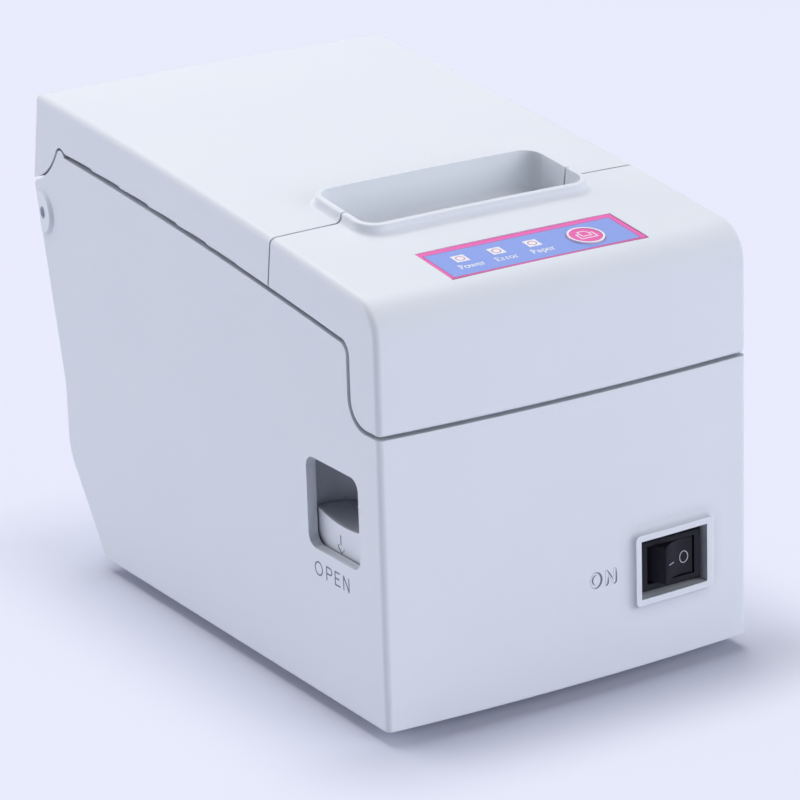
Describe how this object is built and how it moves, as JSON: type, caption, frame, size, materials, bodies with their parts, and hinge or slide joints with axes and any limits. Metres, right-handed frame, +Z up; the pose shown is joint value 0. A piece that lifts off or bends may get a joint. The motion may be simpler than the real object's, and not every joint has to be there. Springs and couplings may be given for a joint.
{
  "type": "receipt printer",
  "caption": "White desktop thermal receipt printer: bowed front, hinged paper lid with exit trough, control panel, side release lever, front rocker switch, rear sockets.",
  "frame": {"origin": "on the table, under the middle of the printer's bounding box", "axes": "+X to the printer's right as seen from the front, +Y to the back, +Z up"},
  "size_m": [0.1178, 0.192, 0.1388],
  "materials": {
    "case_plastic": "fine spark-eroded grain",
    "cover_plastic": "fine spark-eroded grain",
    "lid_plastic": "fine spark-eroded grain",
    "lever_plastic": "satin",
    "overlay_film": "printed film, pink border and blue field",
    "button_rubber": "satin",
    "switch_black": "satin",
    "bin_plastic": "satin",
    "pin_plastic": "satin",
    "sheet_steel": "zinc plated",
    "bright_steel": "ground",
    "head_metal": "anodised",
    "head_ceramic": "glazed",
    "platen_rubber": "ground",
    "foot_rubber": "moulded",
    "gear_plastic": "natural acetal",
    "bush_plastic": "acetal",
    "board_laminate": "solder mask",
    "part_black": "moulded",
    "lamp_plastic": "clear",
    "socket_plastic": "moulded",
    "socket_metal": "plated"
  },
  "bodies": {
    "base": {"main_case": "case_plastic", "bottom_plate": "case_plastic", "rubber_feet": "foot_rubber", "bottom_screws": "bright_steel", "front_cover": "cover_plastic", "hinge_pins": "pin_plastic", "control_overlay": "overlay_film", "panel_board": "board_laminate", "tact_switch": "part_black", "status_leds": "lamp_plastic", "switch_housing": "switch_black", "print_frame": "sheet_steel", "head_plate": "head_metal", "head_strip": "head_ceramic", "head_spring": "bright_steel", "tear_bar": "bright_steel", "step_motor": "sheet_steel", "gear_axle": "bright_steel", "paper_bin": "bin_plastic", "paper_sensor": "part_black", "main_board": "board_laminate", "board_parts": "part_black", "usb_port": "socket_metal", "drawer_port": "socket_plastic", "power_inlet": "socket_plastic"},
    "lid": {"paper_lid": "lid_plastic", "platen_bracket": "bin_plastic", "platen_bushes": "bush_plastic"},
    "platen": {"platen_shaft": "bright_steel", "platen_rubber": "platen_rubber", "platen_gear": "gear_plastic", "shaft_clip": "bright_steel"},
    "reduction": {"reduction_gear": "gear_plastic"},
    "pinion": {"motor_pinion": "bright_steel"},
    "lever": {"release_lever": "lever_plastic", "latch_hooks": "sheet_steel", "lever_shaft": "bright_steel"},
    "rocker": {"power_rocker": "switch_black"},
    "button": {"feed_button": "button_rubber"}
  },
  "joints": [
    {"name": "lid_hinge", "type": "hinge", "parent": "base", "child": "lid", "pos_m": [0, 0.09035, 0.1028], "axis": [-1, 0, 0], "range_deg": [0, 95]},
    {"name": "platen_spin", "type": "hinge", "parent": "lid", "child": "platen", "pos_m": [0, -0.03465, 0.101], "axis": [1, 0, 0], "continuous": true},
    {"name": "reduction_spin", "type": "hinge", "parent": "base", "child": "reduction", "pos_m": [0.04055, -0.04281, 0.08687], "axis": [1, 0, 0], "continuous": true},
    {"name": "pinion_spin", "type": "hinge", "parent": "base", "child": "pinion", "pos_m": [0.04055, -0.0433, 0.07296], "axis": [1, 0, 0], "continuous": true},
    {"name": "lever_press", "type": "hinge", "parent": "base", "child": "lever", "pos_m": [0, -0.02565, 0.07], "axis": [1, 0, 0], "range_deg": [0, 9], "stiffness_Nm_per_rad": 1.5, "springref_deg": -5.73},
    {"name": "rocker_flip", "type": "hinge", "parent": "base", "child": "rocker", "pos_m": [0.03188, -0.09029, 0.03185], "axis": [0, 0, -1], "range_deg": [0, 36]},
    {"name": "feed_press", "type": "slide", "parent": "base", "child": "button", "axis": [0, 0.1294, -0.9916], "range_m": [0, 0.0006], "stiffness_N_per_m": 2500, "springref_m": -0.0002}
  ],
  "couplings": [
    {"joint": "reduction_spin", "follows": "platen_spin", "ratio": -0.58824},
    {"joint": "pinion_spin", "follows": "platen_spin", "ratio": 1.6667}
  ]
}
